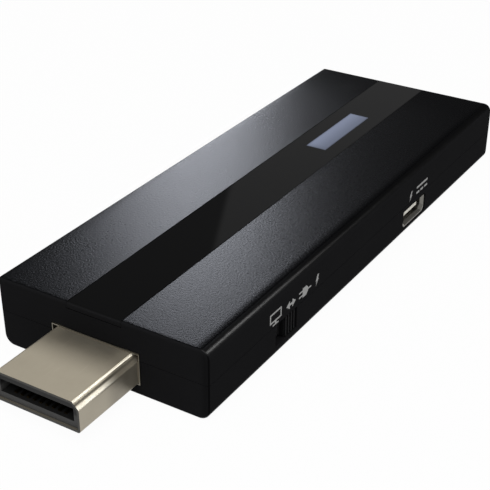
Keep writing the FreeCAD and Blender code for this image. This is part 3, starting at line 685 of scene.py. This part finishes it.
def rib_tree(material):
    """Rounded bars in a row along Y, with their number and sizes as inputs."""
    tree = bpy.data.node_groups.new("knob_ribs", "GeometryNodeTree")
    sizes = {"Count": ("NodeSocketInt", RIB_COUNT), "Pitch": ("NodeSocketFloat", RIB_PITCH),
             "Radius": ("NodeSocketFloat", RIB_RADIUS), "Height": ("NodeSocketFloat", RIB_HEIGHT),
             "Start": ("NodeSocketVector", (0.0, 0.0, 0.0))}
    for name, (kind, value) in sizes.items():
        socket = tree.interface.new_socket(name, in_out="INPUT", socket_type=kind)
        socket.default_value = value
    tree.interface.new_socket("Geometry", in_out="OUTPUT", socket_type="NodeSocketGeometry")
    add = tree.nodes.new
    given, result = add("NodeGroupInput"), add("NodeGroupOutput")
    row, rib = add("GeometryNodeMeshLine"), add("GeometryNodeMeshCylinder")
    place, step = add("GeometryNodeInstanceOnPoints"), add("ShaderNodeCombineXYZ")
    real, paint = add("GeometryNodeRealizeInstances"), add("GeometryNodeSetMaterial")
    smooth = add("GeometryNodeSetShadeSmooth")
    rib.inputs["Vertices"].default_value = RIB_SIDES
    paint.inputs["Material"].default_value = material
    links = [(given.outputs["Count"], row.inputs["Count"]),
             (given.outputs["Start"], row.inputs["Start Location"]),
             (given.outputs["Pitch"], step.inputs["Y"]), (step.outputs["Vector"], row.inputs["Offset"]),
             (given.outputs["Radius"], rib.inputs["Radius"]), (given.outputs["Height"], rib.inputs["Depth"]),
             (row.outputs["Mesh"], place.inputs["Points"]), (rib.outputs["Mesh"], place.inputs["Instance"]),
             (place.outputs["Instances"], real.inputs["Geometry"]),
             (real.outputs["Geometry"], smooth.inputs["Geometry"]),
             (smooth.outputs["Geometry"], paint.inputs["Geometry"]),
             (paint.outputs["Geometry"], result.inputs["Geometry"])]
    for start, end in links:
        tree.links.new(start, end)
    return tree


def from_tree(name, tree, values, body):
    """Runs a node tree on an empty mesh and keeps the plain mesh that it makes."""
    carrier = bpy.data.objects.new(name, bpy.data.meshes.new(name))
    bpy.context.scene.collection.objects.link(carrier)
    modifier = carrier.modifiers.new("shape", "NODES")
    modifier.node_group = tree
    for item in tree.interface.items_tree:
        if item.in_out == "INPUT" and item.name in values:
            modifier[item.identifier] = values[item.name]
    evaluated = carrier.evaluated_get(bpy.context.evaluated_depsgraph_get())
    made = bpy.data.meshes.new_from_object(evaluated)
    carrier.modifiers.clear()
    carrier.data = made
    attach(carrier, body)
    return carrier


knob_low, knob_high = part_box("switch_knob")
rib_start = Vector((knob_high.x - RIB_SINK,
                    (knob_low.y + knob_high.y) / 2 - (RIB_COUNT - 1) / 2 * RIB_PITCH, RIB_MIDDLE))
ribs = from_tree("knob_ribs", rib_tree(finishes["knob_plastic"]),
                 {"Count": RIB_COUNT, "Pitch": RIB_PITCH, "Radius": RIB_RADIUS, "Height": RIB_HEIGHT,
                  "Start": rib_start}, "slider")


# Floor, light and camera

def floor_finish():
    """Pale matte floor that is clear from below, so that the underside can be looked at."""
    finish = new_finish("studio_floor")
    mottle = finish.noise(60.0 * MM, detail=2.0)
    base = finish.blend(mottle, colour(0.90, 0.90, 0.90), colour(0.92, 0.92, 0.92))
    matte = finish.surface({"Base Color": base, "Roughness": 0.9, "Specular IOR Level": 0.0})
    clear = finish.add("ShaderNodeBsdfTransparent")["BSDF"]
    white = finish.add("ShaderNodeEmission", None,
                       {"Color": colour(1.0, 1.0, 1.0), "Strength": 1.0})["Emission"]
    rays = finish.add("ShaderNodeLightPath")
    shown = rays["Is Camera Ray"].at_least(rays["Is Glossy Ray"]).at_least(rays["Is Transmission Ray"])
    backdrop = finish.mixed(0.96 * shown, matte, white)
    below = finish.add("ShaderNodeNewGeometry")["Backfacing"]
    return finish.finished(finish.mixed(below, backdrop, clear))


def add_floor():
    """A wide square just under the adapter."""
    reach = 4.0
    drop = 0.02 * MM
    data = bpy.data.meshes.new("studio_floor")
    corners = [(x * reach, y * reach, -drop) for x, y in ((-1, -1), (1, -1), (1, 1), (-1, 1))]
    data.from_pydata(corners, [], [(0, 1, 2, 3)])
    data.materials.append(floor_finish())
    floor = bpy.data.objects.new("studio_floor", data)
    bpy.context.scene.collection.objects.link(floor)
    return floor


def direction(azimuth, elevation):
    """A unit vector: azimuth in degrees from +Y towards -X, elevation in degrees above the floor."""
    a, e = math.radians(azimuth), math.radians(elevation)
    return Vector((-math.sin(a) * math.cos(e), math.cos(a) * math.cos(e), math.sin(e)))


def add_lamp(name, place, aim, width, height, radiance, tint=(1.0, 1.0, 1.0)):
    """A rectangular soft lamp of a given radiance, whose width stays level."""
    data = bpy.data.lights.new(name, "AREA")
    data.shape = "RECTANGLE"
    data.size, data.size_y = width, height
    data.energy = radiance * math.pi * width * height
    data.color = tint
    lamp = bpy.data.objects.new(name, data)
    lamp.location = place
    lamp.rotation_euler = (Vector(aim) - Vector(place)).to_track_quat("-Z", "Y").to_euler()
    bpy.context.scene.collection.objects.link(lamp)
    return lamp


def linked(lamp, pieces, state):
    """Light linking: what the pieces named are for the lamp."""
    group = bpy.data.collections.new(lamp.name + "_pieces")
    for piece in pieces:
        group.objects.link(piece)
    lamp.light_linking.receiver_collection = group
    for entry in group.collection_objects:
        entry.light_linking.link_state = state


def kept_from(lamp, pieces):
    """These pieces don't get the lamp's light."""
    linked(lamp, pieces, "EXCLUDE")


def kept_for(lamp, pieces):
    """Only these pieces get the lamp's light."""
    linked(lamp, pieces, "INCLUDE")


def unshaded_by(lamp, pieces):
    """The pieces cast no shadow of this lamp."""
    group = bpy.data.collections.new(lamp.name + "_open")
    for piece in pieces:
        group.objects.link(piece)
    lamp.light_linking.blocker_collection = group
    for entry in group.collection_objects:
        entry.light_linking.link_state = "EXCLUDE"


floor = add_floor()
PLUG_PIECES = [nodes["hdmi_shell"], nodes["hdmi_collar"]]
WARM = (1.0, 0.965, 0.88)

# The key lamp is a tall narrow strip, between two elevations as seen from the middle of the top
KEY_AZIMUTH, KEY_DISTANCE = 37.6, 0.29
KEY_LOW_ELEVATION, KEY_HIGH_ELEVATION = 15.4, 37.1
KEY_WIDTH = 0.058
KEY_AIM = Vector((0.0, 0.005, 0.0105))
key_low, key_high = (KEY_DISTANCE * math.tan(math.radians(elevation))
                     for elevation in (KEY_LOW_ELEVATION, KEY_HIGH_ELEVATION))
key_middle = KEY_AIM + direction(KEY_AZIMUTH, 0.0) * KEY_DISTANCE + Vector((0.0, 0.0, (key_low + key_high) / 2))
key = add_lamp("key_lamp", key_middle, (KEY_AIM.x, KEY_AIM.y, key_middle.z), width=KEY_WIDTH,
               height=key_high - key_low, radiance=15.3, tint=(0.87, 0.905, 1.0))
kept_from(key, [floor, nodes["centre_strip"], nodes["indicator_window"]] + PLUG_PIECES)

# A small lamp high behind the right side, aimed at the front end of the rounded edge
edge_lamp = add_lamp("edge_lamp", (0.160, 0.165, 0.167), (0.0169, -0.0396, 0.0105), width=0.052, height=0.080,
                     radiance=6.7)
kept_from(edge_lamp, [floor])

# The plug's own lamps: azimuth, elevation, width, height, radiance and tint
PLUG_MIDDLE = Vector((0.0, -0.0455, 0.006))
PLUG_LAMP_DISTANCE = 0.30
PLUG_LAMPS = {
    "plug_lamp": (43.0, 44.0, 0.15, 0.22, 1.00, (1.0, 0.985, 0.96)),
    "chamfer_lamp": (-47.0, 24.0, 0.06, 0.05, 3.6, WARM),
    "crease_lamp": (-10.0, 54.0, 0.12, 0.16, 4.6, WARM),
}
plug_lamps = {}
for name, (azimuth, elevation, width, height, radiance, tint) in PLUG_LAMPS.items():
    place = PLUG_MIDDLE + direction(azimuth, elevation) * PLUG_LAMP_DISTANCE
    plug_lamps[name] = add_lamp(name, place, PLUG_MIDDLE, width, height, radiance, tint)
    kept_for(plug_lamps[name], PLUG_PIECES)
unshaded_by(plug_lamps["crease_lamp"], [nodes["upper_cover"], nodes["lower_cover"]])

# A large lamp overhead for everything, the walls and the floor's shadow above all
add_lamp("overhead_lamp", (0.28, -0.42, 0.9), (0.28, -0.42, 0.0), width=1.0, height=1.1, radiance=2.6)


def studio_surround():
    """Grey studio walls, dark behind the adapter but for one pale panel, whose left border is sharp."""
    world = bpy.data.worlds.new("studio_surround")
    finish = Finish(world)
    x, y, z = finish.parts(finish.add("ShaderNodeTexCoord")["Generated"])
    azimuth = finish.add("ShaderNodeMath", {"operation": "ARCTAN2"}, {0: -x, 1: y})["Value"]

    # Azimuths run from +Y towards -X; z is the sine of the elevation. The panel's left border leans.
    lean, lean_middle = 0.36, 0.46
    border = azimuth - lean * (z - lean_middle)
    left_border = [math.radians(angle) for angle in (32.75, 33.2)]
    dark_sector = [math.radians(angle) for angle in (-54.0, -44.0, 64.0, 84.0)]
    right_of = 1.0 - finish.step(border, *left_border)
    panel = right_of * finish.step(azimuth, 0.33, 0.41) * finish.band(z, 0.26, 0.33, 0.53, 0.58)
    behind = 0.035 + 0.030 * (1.0 - right_of) + 0.140 * panel
    around = 0.15 + 0.42 * (1.0 - finish.step(z, 0.45, 0.75))
    level = around + finish.band(azimuth, *dark_sector) * (behind - around)
    shade = finish.add("ShaderNodeBackground", None, {"Color": colour(1.0, 1.0, 1.0), "Strength": level})
    finish.finished(shade["Background"], "ShaderNodeOutputWorld")
    bpy.context.scene.world = world


studio_surround()


def add_camera():
    """The photograph's viewpoint, worked out from the housing's edges."""
    azimuth, elevation = math.radians(31.95), math.radians(29.465)
    distance = 180.0 * MM
    target = Vector((0.1 * MM, -4.25 * MM, 3.6 * MM))
    focal_pixels, frame_pixels = 1185.0, 490.0
    back = Vector((math.sin(azimuth) * math.cos(elevation), -math.cos(azimuth) * math.cos(elevation),
                   math.sin(elevation)))
    data = bpy.data.cameras.new("camera")
    data.sensor_width = 36.0
    data.lens = focal_pixels / frame_pixels * data.sensor_width
    data.clip_start, data.clip_end = 0.01, 20.0
    camera = bpy.data.objects.new("camera", data)
    camera.location = target + distance * back
    camera.rotation_euler = (-back).to_track_quat("-Z", "Y").to_euler()
    bpy.context.scene.collection.objects.link(camera)
    bpy.context.scene.camera = camera


add_camera()
bpy.context.scene.view_settings.view_transform = "Standard"

bpy.context.view_layer.update()
